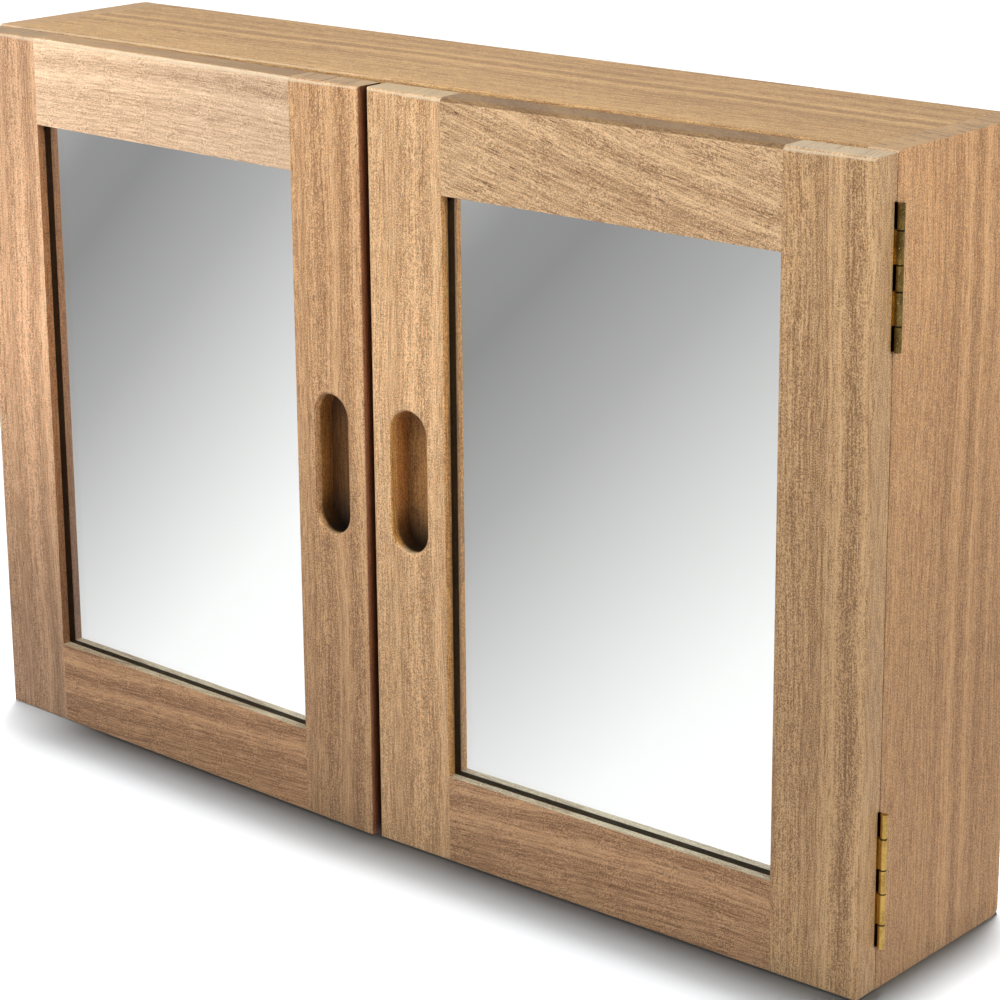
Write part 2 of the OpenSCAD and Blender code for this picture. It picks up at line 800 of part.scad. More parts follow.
left() case_leaf_at(upper_hinge_z);  // left_upper_hinge_case_leaf
left() door_leaf_at(upper_hinge_z, left_ajar);  // left_upper_hinge_door_leaf
left() hinge_pin_at(upper_hinge_z);  // left_upper_hinge_pin
left() case_leaf_at(lower_hinge_z);  // left_lower_hinge_case_leaf
left() door_leaf_at(lower_hinge_z, left_ajar);  // left_lower_hinge_door_leaf
left() hinge_pin_at(lower_hinge_z);  // left_lower_hinge_pin
right() case_leaf_at(upper_hinge_z);  // right_upper_hinge_case_leaf
right() door_leaf_at(upper_hinge_z, right_ajar);  // right_upper_hinge_door_leaf
right() hinge_pin_at(upper_hinge_z);  // right_upper_hinge_pin
right() case_leaf_at(lower_hinge_z);  // right_lower_hinge_case_leaf
right() door_leaf_at(lower_hinge_z, right_ajar);  // right_lower_hinge_door_leaf
right() hinge_pin_at(lower_hinge_z);  // right_lower_hinge_pin
case_hinge_screws();
left() door_hinge_screws(left_ajar);  // left_door_hinge_screws
right() door_hinge_screws(right_ajar);  // right_door_hinge_screws

left_door() outer_stile();  // left_door_outer_stile
left_door() meeting_stile();  // left_door_meeting_stile
left_door() top_rail();  // left_door_top_rail
left_door() bottom_rail();  // left_door_bottom_rail
left_door() mirror_pane();  // left_door_mirror
left_door() backing();  // left_door_backing
left_door() beads();  // left_door_beads
left_door() bead_brads();  // left_door_bead_brads
left_door() strike_plate();  // left_door_strike_plate
left_door() at_strike_screw() screw();  // left_door_strike_screw

right_door() outer_stile();  // right_door_outer_stile
right_door() meeting_stile();  // right_door_meeting_stile
right_door() top_rail();  // right_door_top_rail
right_door() bottom_rail();  // right_door_bottom_rail
right_door() mirror_pane();  // right_door_mirror
right_door() backing();  // right_door_backing
right_door() beads();  // right_door_beads
right_door() bead_brads();  // right_door_bead_brads
right_door() strike_plate();  // right_door_strike_plate
right_door() at_strike_screw() screw();  // right_door_strike_screw
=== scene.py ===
"""A wooden wall cabinet with two mirrored doors, dressed for the camera."""

import json
import math

import bmesh
import bpy
from mathutils import Matrix, Vector


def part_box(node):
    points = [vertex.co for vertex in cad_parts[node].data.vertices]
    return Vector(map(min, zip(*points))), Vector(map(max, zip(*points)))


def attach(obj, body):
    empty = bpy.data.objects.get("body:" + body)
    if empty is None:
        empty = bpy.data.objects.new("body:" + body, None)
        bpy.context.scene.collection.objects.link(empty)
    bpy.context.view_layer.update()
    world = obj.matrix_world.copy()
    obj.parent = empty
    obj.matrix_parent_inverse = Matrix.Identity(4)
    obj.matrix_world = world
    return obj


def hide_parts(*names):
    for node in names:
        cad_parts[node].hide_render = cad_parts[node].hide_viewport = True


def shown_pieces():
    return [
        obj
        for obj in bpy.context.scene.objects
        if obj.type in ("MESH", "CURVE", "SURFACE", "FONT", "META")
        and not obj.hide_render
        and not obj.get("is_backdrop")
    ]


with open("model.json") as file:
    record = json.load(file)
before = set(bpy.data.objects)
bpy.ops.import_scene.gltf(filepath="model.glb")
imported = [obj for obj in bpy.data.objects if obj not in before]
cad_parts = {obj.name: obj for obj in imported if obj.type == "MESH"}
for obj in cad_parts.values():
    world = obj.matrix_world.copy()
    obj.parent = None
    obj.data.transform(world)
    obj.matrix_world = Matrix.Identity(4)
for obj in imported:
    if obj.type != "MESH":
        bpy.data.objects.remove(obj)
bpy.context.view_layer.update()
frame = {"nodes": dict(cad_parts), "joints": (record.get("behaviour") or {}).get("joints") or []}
nodes = frame["nodes"]

MM = 0.001
SIDES = ("left", "right")
RIGHT, LEFT, UP, DOWN, BACK = (1, 0, 0), (-1, 0, 0), (0, 0, 1), (0, 0, -1), (0, 1, 0)
FRONT_AND_UP = (0, -0.90, 0.436)
HALF_WAY_UP = (0, -0.707, 0.707)


# Where the doors are at rest


def hinge_frame(side):
    """The matrix that carries a shut door to where it stands ajar."""
    swing = next(j for j in frame["joints"] if j["name"] == f"{side}_door_swing")
    shut_turn = math.radians(swing["range_deg"][0])
    axle = Matrix.Translation(swing["pos_m"])
    return axle @ Matrix.Rotation(-shut_turn, 4, swing["axis"]) @ axle.inverted()


def shut_box(node, side):
    """The lowest and highest corners of a door's node, with its door shut."""
    back = hinge_frame(side).inverted()
    corners = [back @ v.co for v in nodes[node].data.vertices]
    low = Vector([min(c[axis] for c in corners) for axis in range(3)])
    high = Vector([max(c[axis] for c in corners) for axis in range(3)])
    return low, high


def stand(name, data):
    """A new object in the scene that holds a mesh, a lamp or a lens."""
    made = bpy.data.objects.new(name, data)
    bpy.context.scene.collection.objects.link(made)
    return made


# Node trees, written as calls


def srgb(red, green, blue):
    """A colour given as 0 to 255 on screen, as the linear values that shaders take."""
    levels = []
    for level in (red, green, blue):
        c = level / 255
        levels.append(c / 12.92 if c <= 0.04045 else ((c + 0.055) / 1.055) ** 2.4)
    return (*levels, 1.0)


def grey(level):
    return (level, level, level, 1)


class Nodes:
    """Nodes laid down by calls. An input takes a value or another node's socket."""

    def __init__(self, owner):
        owner.use_nodes = True
        self.tree = owner.node_tree
        self.tree.nodes.clear()

    def node(self, kind, inputs, **settings):
        made = self.tree.nodes.new("ShaderNode" + kind)
        for setting, value in settings.items():
            setattr(made, setting, value)
        for name, value in inputs.items():
            self.feed(made.inputs[name], value)
        return made

    def feed(self, socket, value):
        if isinstance(value, bpy.types.NodeSocket):
            self.tree.links.new(value, socket)
        else:
            socket.default_value = value

    def place(self):
        """The point on the piece, in the frame's metres."""
        return self.node("TexCoord", {}).outputs["Object"]

    def facing(self, axis):
        """How squarely a face looks along an axis of the piece: 1 towards it and -1 away from it."""
        normal = self.node("TexCoord", {}).outputs["Normal"]
        return self.vector("DOT_PRODUCT", normal, axis, "Value")

    def math(self, operation, a, b=0.0, clamp=False):
        return self.node("Math", {0: a, 1: b}, operation=operation, use_clamp=clamp).outputs[0]

    def plus(self, a, b):
        return self.math("ADD", a, b)

    def minus(self, a, b):
        return self.math("SUBTRACT", a, b)

    def times(self, a, b):
        return self.math("MULTIPLY", a, b)

    def vector(self, operation, a, b=(0, 0, 0), output="Vector"):
        return self.node("VectorMath", {0: a, 1: b}, operation=operation).outputs[output]

    def split(self, point):
        return self.node("SeparateXYZ", {0: point}).outputs

    def joined(self, x, y, z=0.0):
        return self.node("CombineXYZ", {0: x, 1: y, 2: z}).outputs[0]

    def length(self, x, y):
        return self.vector("LENGTH", self.joined(x, y), output="Value")

    def noise(self, point, size, detail=2.0, rough=0.5, output=0):
        """Noise whose grains are size = (x, y, z) metres long."""
        grains = self.vector("MULTIPLY", point, [1 / s for s in size])
        inputs = {"Vector": grains, "Scale": 1.0, "Detail": detail, "Roughness": rough}
        return self.node("TexNoise", inputs).outputs[output]

    def wander(self, point, size, detail, rough, reach):
        """A push across the board that changes over size, by up to about half of reach."""
        push = self.noise(point, size, detail, rough, output=1)
        push = self.vector("SUBTRACT", push, (0.5, 0.5, 0.5))
        return self.vector("MULTIPLY", push, (reach, reach, 0))

    def bands(self, distance, pitch, detail=1.0, rough=0.5):
        """Uneven bands across a distance, about pitch metres apart."""
        turns = self.math("DIVIDE", distance, pitch)
        inputs = {"W": turns, "Scale": 1.0, "Detail": detail, "Roughness": rough}
        return self.node("TexNoise", inputs, noise_dimensions="1D").outputs[0]

    def rise(self, value, low, high, top=1.0):
        """A soft step from 0 to top as value goes from low to high."""
        inputs = {"Value": value, "From Min": low, "From Max": high, "To Min": 0.0, "To Max": top}
        return self.node("MapRange", inputs, interpolation_type="SMOOTHSTEP").outputs[0]

    def mix(self, share, a, b, blend="MIX"):
        made = self.node("Mix", {}, data_type="RGBA", blend_type=blend)
        self.feed(made.inputs["Factor"], share)
        self.feed(made.inputs[6], a)
        self.feed(made.inputs[7], b)
        return made.outputs[2]

    def tinted(self, share, colour, tint):
        """The colour multiplied by the tint where share is 1, and itself where share is 0."""
        return self.mix(share, colour, tint, "MULTIPLY")

    def ramp(self, value, stops):
        """A colour ramp through (place, colour) stops."""
        made = self.node("ValToRGB", {"Fac": value})
        elements = made.color_ramp.elements
        while len(elements) < len(stops):
            elements.new(0.5)
        for element, (where, colour) in zip(elements, stops):
            element.position = where
            element.color = colour
        return made.outputs[0]

    def sum_of(self, start, *terms):
        """start plus each (value, weight) term, where a value of a half adds nothing."""
        total = start
        for value, weight in terms:
            total = self.plus(total, self.times(self.minus(value, 0.5), weight))
        return total

    def bump(self, height, depth, strength=1.0):
        inputs = {"Height": height, "Distance": depth, "Strength": strength}
        return self.node("Bump", inputs).outputs[0]

    def emission(self, colour, strength):
        return self.node("Emission", {"Color": colour, "Strength": strength}).outputs[0]

    def show(self, shader, output="OutputMaterial"):
        self.node(output, {"Surface": shader})


class Finish(Nodes):
    """A material and its nodes."""

    def __init__(self, name):
        self.material = bpy.data.materials.new(name)
        super().__init__(self.material)

    def surface(self, **inputs):
        """The shader and the output, with the shader's inputs by their names."""
        named = {name.replace("_", " "): value for name, value in inputs.items()}
        self.show(self.node("BsdfPrincipled", named).outputs[0])


def dress(node, material):
    """Gives a CAD node one material."""
    for slot in nodes[node].material_slots:
        slot.material = material


# Wood

# Which axes of the frame run across, behind and along a board
FACE_AXES = {
    "upright": "xyz",
    "rail": "zyx",
    "side": "yxz",
    "flat": "yzx",
}

# Tints that multiply a board's own tone
LINES = (0.70, 0.56, 0.44, 1)
STREAKS = (0.50, 0.40, 0.34, 1)
DASHES = (0.24, 0.17, 0.13, 1)
DARKER_BROWN = (0.58, 0.44, 0.32, 1)
OCHRE = (1.05, 0.88, 0.60, 1)
# Painted shade on the left door's meeting edge, which stands in the gap between the doors
MEETING_EDGE_SHADE = (0.34, 0.20, 0.15, 1)
# Painted shade on the doors' top faces, and deeper on the right door's top rail
TOP_SHADE = (0.45, 0.39, 0.28, 1)
DEEPER_TOP_SHADE = (0.38, 0.33, 0.24, 1)
SHADED = (0.06, 0.05, 0.04, 1)
# Painted light on the bottom rails' top faces, the sills below the mirrors
SILL_LIGHT = (1.2, 1.75, 2.3, 1)
# Painted shade behind the rails' lips, in the rebate by the mirror
OLIVE_REBATE_SHADE = (0.16, 0.13, 0.055, 1)

# Painted shade and light in a finger recess: the tints of its floor, its left wall and its left rim
LEFT_RECESS_SHADE = ((0.224, 0.168, 0.086, 1), (3.0, 3.0, 3.0, 1), (1.15, 1.1, 1.05, 1))
RIGHT_RECESS_SHADE = ((0.45, 0.355, 0.22, 1), (1.58, 1.4, 1.25, 1), (0.8, 0.65, 0.35, 1))

# How a board's tone changes in its darkest and in its palest grain
DARKEST = (0.50, 0.43, 0.37)
PALEST = (1.42, 1.50, 1.56)

# A painted highlight on the rounded top edges
EDGE_HIGHLIGHT = srgb(202, 184, 156)
END_GRAIN = srgb(178, 144, 102)
RING_ON_END = srgb(88, 76, 58)

# Where the tree's middle is, across the face and behind it, and how far apart its rings are
HEART = (140 * MM, 30 * MM)
RING_PITCH = 9 * MM

# How long the marks in the wood are, across, behind and along the board
WANDER = (100 * MM, 100 * MM, 260 * MM)
RIPPLE = (12 * MM, 12 * MM, 40 * MM)
CLOUD = (50 * MM, 50 * MM, 220 * MM)
STREAK = (7 * MM, 7 * MM, 70 * MM)
LINE = (0.7 * MM, 0.7 * MM, 34 * MM)
DASH = (0.7 * MM, 0.7 * MM, 9 * MM)
RING_PATCH = (16 * MM, 16 * MM, 16 * MM)
WANDER_REACH = 22 * MM
RIPPLE_REACH = 1.8 * MM
FIBRE_WIDTH = 0.8 * MM
FIBRE_LENGTH = 14 * MM

ROUNDED_TOP = 6 * MM
RECESS_HALF_WIDTH = 13 * MM
RECESS_HALF_STRAIGHT = 28 * MM
RECESS_SPARE = 0.5 * MM


def cut_end(f, board, rings, grit, tone, strength):
    """The colour of a sawn end, where the rings show in patches."""
    patches = f.rise(f.noise(board, RING_PATCH, 1.0), 0.38, 0.55)
    lines = f.times(f.rise(rings, 0.5, 0.62), patches)
    colour = f.mix(f.times(lines, strength), tone, RING_ON_END)
    return f.tinted(1.0, colour, f.ramp(grit, [(0.3, grey(0.75)), (0.7, grey(1.2))]))


def within_recess(f, across, along):
    """1 inside the outline of a finger recess and 0 outside it."""
    past_end = f.math("MAXIMUM", f.minus(f.math("ABSOLUTE", along), RECESS_HALF_STRAIGHT), 0.0)
    reach = f.length(across, past_end)
    return f.math("LESS_THAN", reach, RECESS_HALF_WIDTH + RECESS_SPARE)


def shade_recess(f, colour, behind, along, within, tints):
    """Paints shade into a finger recess, darker at its foot, and paints shade into the gap between the
    doors.
    """
    on_floor, on_wall, on_rim = tints
    # Painted shade on the meeting edge, darker deeper into the gap between the doors
    meeting_gap_shade = f.times(f.rise(f.facing(RIGHT), 0.6, 0.9), f.rise(behind, -7 * MM, -1 * MM))
    colour = f.tinted(f.times(meeting_gap_shade, f.minus(1.0, within)), colour, SHADED)
    # Painted shade in the recess, darker where it is deeper
    sunk_shade = f.times(within, f.rise(behind, -7 * MM, -3 * MM))
    colour = f.tinted(sunk_shade, colour, on_floor)
    # Painted light and shade on the recess's left wall and rim, which face right
    rightward = f.times(within, f.rise(f.facing(RIGHT), 0.3, 0.8))
    colour = f.tinted(rightward, colour, f.mix(sunk_shade, on_rim, on_wall))
    # Painted shade, darker towards the recess's foot
    foot_shade = f.times(sunk_shade, f.rise(along, -10 * MM, -42 * MM))
    return f.tinted(foot_shade, colour, SHADED)


def wood(node, lie, tone, seed, slope=0.0, figure=0.8, streaks=0.3, lines=0.5, dashes=0.5,
         end=END_GRAIN, end_rings=0.5, edges=(), highlight=0.7, highlight_way=FRONT_AND_UP, highlight_fade=None,
         coarse=1.0, speckle=1.0, run=(), rebate_shade=None, recess=None):
    """Solid wood: rings about a heart beside the board, crossed by fibres, fine lines and dashes.

    lie names how the board lies and slope how far its grain climbs across it. figure, streaks,
    lines and dashes are how strongly these marks show. end is the tone of a cut end and end_rings
    how strongly its rings show. edges lists (direction, how squarely, tint) for faces tinted by
    the way they look: browner or ochre edges, painted shade on the doors' tops and on the left
    door's meeting edge, and painted light on the sills. run lists (place, level) along the board,
    from its low or left end at 0 to the other at 1. highlight is how strong the painted highlight
    on the rounded edge at the top is, where it looks highlight_way, and it fades between the two
    places of highlight_fade. coarse widens the fibres and speckle brings out their contrast.
    rebate_shade is the painted shade behind the lip of a board that holds a mirror in its rebate,
    and recess holds the tints of the painted light and shade in a finger recess.
    """
    f = Finish(node + "_wood")
    low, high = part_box(node)
    axes = FACE_AXES[lie]
    place = f.split(f.vector("SUBTRACT", f.place(), (low + high) / 2))
    across, behind, along = [place["xyz".index(letter)] for letter in axes]
    climbed = f.minus(across, f.times(along, slope))
    board = f.vector("ADD", f.joined(climbed, behind, along), (seed * 0.37, seed * 0.61, seed * 1.7))

    # The grain wanders along the board, and everything in the wood follows it
    sway = f.vector("ADD", f.wander(board, WANDER, 2.0, 0.45, WANDER_REACH),
                    f.wander(board, RIPPLE, 1.0, 0.5, RIPPLE_REACH))
    grain = f.vector("ADD", board, sway)
    drift = f.split(sway)
    ring = f.length(f.minus(f.plus(climbed, drift[0]), HEART[0]),
                    f.minus(f.plus(behind, drift[1]), HEART[1]))

    broad = f.bands(ring, RING_PITCH)
    narrow = f.bands(ring, 0.22 * RING_PITCH, 2.0, 0.6)
    cloud = f.noise(board, CLOUD)
    width = FIBRE_WIDTH * coarse
    fibre = f.noise(grain, (width, width, FIBRE_LENGTH), 2.0, 0.6)
    grit = f.noise(board, (0.75 * width, 0.75 * width, width), 1.0, 0.6)
    value = f.sum_of(0.5, (broad, 0.9 * figure), (narrow, 0.8 * figure), (cloud, 0.4),
                     (fibre, 1.7 * speckle), (grit, 2.8 * speckle))
    deep, pale = [[c * k for c, k in zip(tone, change)] + [1] for change in (DARKEST, PALEST)]
    colour = f.ramp(value, [(0.0, deep), (0.5, tone), (1.0, pale)])

    # Fine reddish lines and a few darker streaks follow the grain, and dashes lie along it
    line = f.rise(f.noise(grain, LINE, 2.0, 0.55), 0.50, 0.68)
    streak = f.times(f.rise(f.bands(ring, 0.7 * RING_PITCH, 2.0, 0.6), 0.54, 0.70),
                     f.rise(f.noise(grain, STREAK), 0.42, 0.62))
    dash = f.rise(f.noise(grain, DASH, 1.0, 0.4), 0.66, 0.74)
    for mark, strength, tint in ((line, lines, LINES), (streak, streaks, STREAKS),
                                 (dash, dashes, DASHES)):
        colour = f.tinted(f.times(mark, strength), colour, tint)

    # A ramp's levels end at 1, so it holds half of each
    if run:
        length = (high - low)["xyz".index(axes[2])]
        share = f.plus(0.5, f.math("DIVIDE", along, length))
        levels = f.ramp(share, [(where, grey(level / 2)) for where, level in run])
        colour = f.vector("MULTIPLY", colour, f.vector("MULTIPLY", levels, (2, 2, 2)))

    # Faces tinted by the way they look, with painted shade and light among them, but not in the recess,
    # and cut ends
    within = within_recess(f, across, along) if recess else 0.0
    outside = f.minus(1.0, within)
    for direction, squarely, tint in edges:
        face_tint_and_shade = f.times(outside, f.rise(f.facing(direction), squarely, squarely + 0.25))
        colour = f.tinted(face_tint_and_shade, colour, tint)
    end_axis = [float(letter == axes[2]) for letter in "xyz"]
    cut = f.rise(f.math("ABSOLUTE", f.facing(end_axis)), 0.75, 0.95, 0.8)
    colour = f.mix(cut, colour, cut_end(f, board, narrow, grit, end, end_rings))

    # A painted highlight on the rounded edge at the top front
    over_edge = f.math("GREATER_THAN", place[2], (high.z - low.z) / 2 - ROUNDED_TOP)
    highlight_share = f.times(over_edge, f.rise(f.facing(highlight_way), 0.92, 0.98, highlight))
    if highlight_fade:
        highlight_share = f.times(highlight_share, f.rise(along, highlight_fade[1], highlight_fade[0]))
    colour = f.mix(highlight_share, colour, EDGE_HIGHLIGHT)

    # Painted shade on the back of the lip, in the rebate that holds the mirror
    if rebate_shade:
        lip_back_shade = f.times(f.rise(f.facing(BACK), 0.6, 0.9), f.math("LESS_THAN", behind, 0.0))
        colour = f.tinted(lip_back_shade, colour, rebate_shade)
    # Painted shade and light in the finger recess, and painted shade in the gap between the doors
    if recess:
        colour = shade_recess(f, colour, behind, along, within, recess)

    height = f.sum_of(0.5, (fibre, 0.6), (narrow, 0.3), (grit, 0.3))
    height = f.minus(height, f.times(dash, 0.6))
    f.surface(Base_Color=colour, Roughness=f.plus(0.46, f.times(grit, 0.2)),
              Normal=f.bump(height, 0.2 * MM, 0.5))
    dress(node, f.material)


ON_CASE = dict(highlight=0.5, highlight_way=HALF_WAY_UP, coarse=1.1, speckle=0.85)
STILE = dict(lie="upright", rebate_shade=SHADED)
RAIL = dict(lie="rail", rebate_shade=OLIVE_REBATE_SHADE)
VENEER = dict(lie="upright", lines=0.3, dashes=0.2)
BOARDS = {
    "left_door_outer_stile": dict(
        **STILE, tone=srgb(217, 174, 135), seed=1, end=srgb(160, 134, 100),
        edges=((RIGHT, 0.6, DARKER_BROWN), (UP, 0.7, TOP_SHADE)),
        run=((0.15, 0.6), (0.6, 1.18), (0.9, 0.86))),
    "left_door_meeting_stile": dict(
        **STILE, tone=srgb(197, 157, 115), seed=2, recess=LEFT_RECESS_SHADE,
        edges=((RIGHT, 0.6, MEETING_EDGE_SHADE), (LEFT, 0.6, DARKER_BROWN)),
        end=srgb(164, 136, 100), end_rings=1.0,
        run=((0.1, 0.79), (0.35, 0.92), (0.6, 1.05))),
    "left_door_top_rail": dict(
        **RAIL, tone=srgb(227, 195, 161), seed=3, figure=0.5, lines=0.35, dashes=0.15, streaks=0.2,
        speckle=0.65, edges=((UP, 0.7, TOP_SHADE), (DOWN, 0.6, DARKER_BROWN)), run=((0.1, 1.1), (0.8, 0.8))),
    "left_door_bottom_rail": dict(
        **RAIL, tone=srgb(182, 141, 103), seed=4, slope=0.056, streaks=0.9, figure=1.0, highlight=0,
        edges=((UP, 0.6, SILL_LIGHT),)),
    "right_door_meeting_stile": dict(
        **STILE, tone=srgb(209, 171, 128), seed=5, recess=RIGHT_RECESS_SHADE,
        edges=((RIGHT, 0.6, OCHRE), (LEFT, 0.6, DARKER_BROWN)),
        end=srgb(182, 160, 126), figure=0.6,
        run=((0.1, 0.97), (0.35, 1.0), (0.65, 1.16), (0.9, 0.98))),
    "right_door_outer_stile": dict(
        **STILE, tone=srgb(184, 150, 110), seed=6, end=srgb(196, 176, 146), streaks=0.6, figure=0.9,
        edges=((LEFT, 0.6, DARKER_BROWN),), run=((0.05, 1.08), (0.3, 0.92), (0.9, 1.1))),
    "right_door_top_rail": dict(
        **RAIL, tone=srgb(201, 168, 129), seed=7, slope=-0.235, streaks=0.4, figure=0.7, dashes=0.9,
        highlight=0, edges=((UP, 0.2, DEEPER_TOP_SHADE), (DOWN, 0.6, DARKER_BROWN))),
    "right_door_bottom_rail": dict(
        **RAIL, tone=srgb(184, 145, 108), seed=8, slope=0.05, streaks=0.7, figure=0.9, highlight=0,
        edges=((UP, 0.6, SILL_LIGHT),)),
    "right_side": dict(
        **ON_CASE, lie="side", tone=srgb(195, 152, 107), seed=9, end_rings=1.0,
        run=((0.15, 0.86), (0.35, 0.83), (0.6, 0.93), (0.9, 1.1))),
    "left_side": dict(**ON_CASE, lie="side", tone=srgb(202, 154, 109), seed=10),
    "top_panel": dict(
        **ON_CASE, lie="flat", tone=srgb(181, 143, 95), seed=11, figure=1.1, streaks=0.6,
        highlight_fade=(-110 * MM, 60 * MM)),
    "bottom_panel": dict(lie="flat", tone=srgb(186, 146, 108), seed=12),
    "back_panel": dict(**VENEER, tone=srgb(206, 174, 132), seed=13),
    "hanging_rail": dict(lie="rail", tone=srgb(194, 152, 112), seed=14),
    "upper_shelf": dict(lie="flat", tone=srgb(196, 156, 116), seed=15),
    "lower_shelf": dict(lie="flat", tone=srgb(196, 156, 116), seed=16),
    "left_door_backing": dict(**VENEER, tone=srgb(204, 172, 130), seed=17),
    "right_door_backing": dict(**VENEER, tone=srgb(204, 172, 130), seed=18),
    "left_door_beads": dict(lie="upright", tone=srgb(200, 160, 120), seed=19),
    "right_door_beads": dict(lie="upright", tone=srgb(200, 160, 120), seed=20),
    "case_dowels": dict(lie="rail", tone=srgb(210, 182, 140), seed=21),
}


# Metal, plastic, glass and silver

# How far the hinges' pins are from the cabinet's middle, and how far in from them brass reaches
HINGE_LINE = 333.4 * MM
KNUCKLE_REACH = 2.0 * MM
LEAF_ON_WOOD = 4.0 * MM

# The joints between a hinge's knuckles, up and down from its middle, and their half width
KNUCKLE_JOINTS = (6.6 * MM, 23.8 * MM)
JOINT_REACH = 0.4 * MM

BRIGHT = dict(bright=srgb(204, 168, 94), tarnish=srgb(136, 104, 46), wear=0.45)
OLD = dict(bright=srgb(150, 124, 68), tarnish=srgb(82, 66, 32), wear=0.6, specks=0.8)
PALE_SPECK = srgb(226, 204, 160)
# Painted shade on the case leaves' strip beside the knuckles, in the gap between the leaves
KNUCKLE_GAP_SHADE = (0.05, 0.04, 0.03, 1)
ON_UPPER_WEB = (1.90, 1.45, 0.35, 1)
ON_LOWER_WEB = (0.50, 0.42, 0.06, 1)


def brass(name, bright, tarnish, wear, middle=0.0, specks=0.0, beside_knuckle=None):
    """Brass that has gone brown in patches, with painted shade in the joints between the knuckles,
    and a tint on the strip beside them that is painted shade on the case leaves.

    middle is the height of the hinge's middle, and specks is how bright its worn pits are.
    """
    f = Finish(name)
    place = f.place()
    cloud = f.noise(place, (6 * MM, 6 * MM, 12 * MM), 4.0, 0.6)
    spots = f.noise(place, (0.6 * MM, 0.6 * MM, 0.9 * MM), 2.0, 0.6)
    scratch = f.noise(place, (0.3 * MM, 0.3 * MM, 12 * MM), 2.0, 0.6)
    old = f.rise(f.sum_of(wear, (cloud, 1.0), (spots, 0.8)), 0.3, 0.8)
    colour = f.mix(old, bright, tarnish)
    colour = f.mix(f.rise(spots, 0.64, 0.70, specks), colour, PALE_SPECK)
    split = f.split(place)
    from_line = f.minus(HINGE_LINE, f.math("ABSOLUTE", split[0]))
    on_knuckle = f.math("LESS_THAN", from_line, KNUCKLE_REACH)
    from_middle = f.math("ABSOLUTE", f.minus(split[2], middle))
    # Painted shade in the joints between the knuckles
    for joint in KNUCKLE_JOINTS:
        at_joint = f.math("LESS_THAN", f.math("ABSOLUTE", f.minus(from_middle, joint)), JOINT_REACH)
        colour = f.tinted(f.times(at_joint, on_knuckle), colour, SHADED)
    # A tint on the strip beside the knuckle, which is painted shade on the case leaves
    if beside_knuckle:
        strip = f.times(f.math("GREATER_THAN", from_line, KNUCKLE_REACH),
                        f.math("LESS_THAN", from_line, LEAF_ON_WOOD))
        colour = f.tinted(strip, colour, beside_knuckle)
    rough = f.plus(f.times(old, 0.18), f.times(scratch, 0.3))
    f.surface(Base_Color=colour, Metallic=1.0, Roughness=f.plus(rough, 0.18),
              Normal=f.bump(f.sum_of(0.5, (scratch, 0.6), (spots, 0.8)), 0.05 * MM, 0.5))
    return f.material


def hinge_brass():
    """The brass of each piece of the hinges, by the hinge's height and the ending of its name."""
    finishes = {}
    for height, tones, on_web in (("upper", OLD, ON_UPPER_WEB), ("lower", BRIGHT, ON_LOWER_WEB)):
        leaf = next(name for name in nodes if height in name and name.endswith("_case_leaf"))
        low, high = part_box(leaf)
        middle = (low.z + high.z) / 2
        for kind, tint in (("case_leaf", KNUCKLE_GAP_SHADE), ("door_leaf", on_web), ("pin", None)):
            finishes[height, kind] = brass(f"{height}_{kind}_brass", **tones, middle=middle,
                                           beside_knuckle=tint)
    return finishes


def steel(name, light, dark):
    """Plated steel, brushed along its length."""
    f = Finish(name)
    place = f.place()
    brushed = f.noise(place, (0.3 * MM, 4 * MM, 4 * MM), 3.0, 0.6)
    cloud = f.noise(place, (5 * MM, 5 * MM, 5 * MM))
    colour = f.ramp(f.sum_of(0.5, (brushed, 0.8), (cloud, 0.5)), [(0.2, dark), (0.8, light)])
    f.surface(Base_Color=colour, Metallic=1.0, Roughness=f.plus(0.2, f.times(brushed, 0.25)),
              Normal=f.bump(brushed, 0.04 * MM, 0.4))
    return f.material


def moulded(name, dark, light, rough):
    """Moulded plastic with a fine spark-eroded skin."""
    f = Finish(name)
    place = f.place()
    skin = f.noise(place, (0.5 * MM, 0.5 * MM, 0.5 * MM), 3.0, 0.6)
    flow = f.noise(place, (12 * MM, 4 * MM, 12 * MM))
    colour = f.ramp(f.sum_of(0.5, (skin, 0.4), (flow, 0.8)), [(0.2, dark), (0.8, light)])
    f.surface(Base_Color=colour, Roughness=f.plus(rough, f.times(skin, 0.15)),
              Normal=f.bump(skin, 0.06 * MM, 0.5))
    return f.material


def mirror_glass():
    """Clear glass with a faint haze in places."""
    f = Finish("mirror_glass")
    haze = f.noise(f.place(), (50 * MM, 50 * MM, 80 * MM), 3.0)
    f.surface(Base_Color=(0.995, 1.0, 0.997, 1.0), Roughness=f.rise(haze, 0.62, 0.95, 0.012),
              Transmission_Weight=1.0, IOR=1.5)
    return f.material


def mirror_silver():
    """The silvered back of a mirror."""
    f = Finish("mirror_silver")
    depth = f.noise(f.place(), (100 * MM, 100 * MM, 160 * MM))
    colour = f.mix(depth, srgb(252, 253, 252), srgb(254, 254, 254))
    f.surface(Base_Color=colour, Metallic=1.0, Roughness=f.rise(depth, 0.7, 1.0, 0.01))
    return f.material


# Softened edges on the CAD pieces


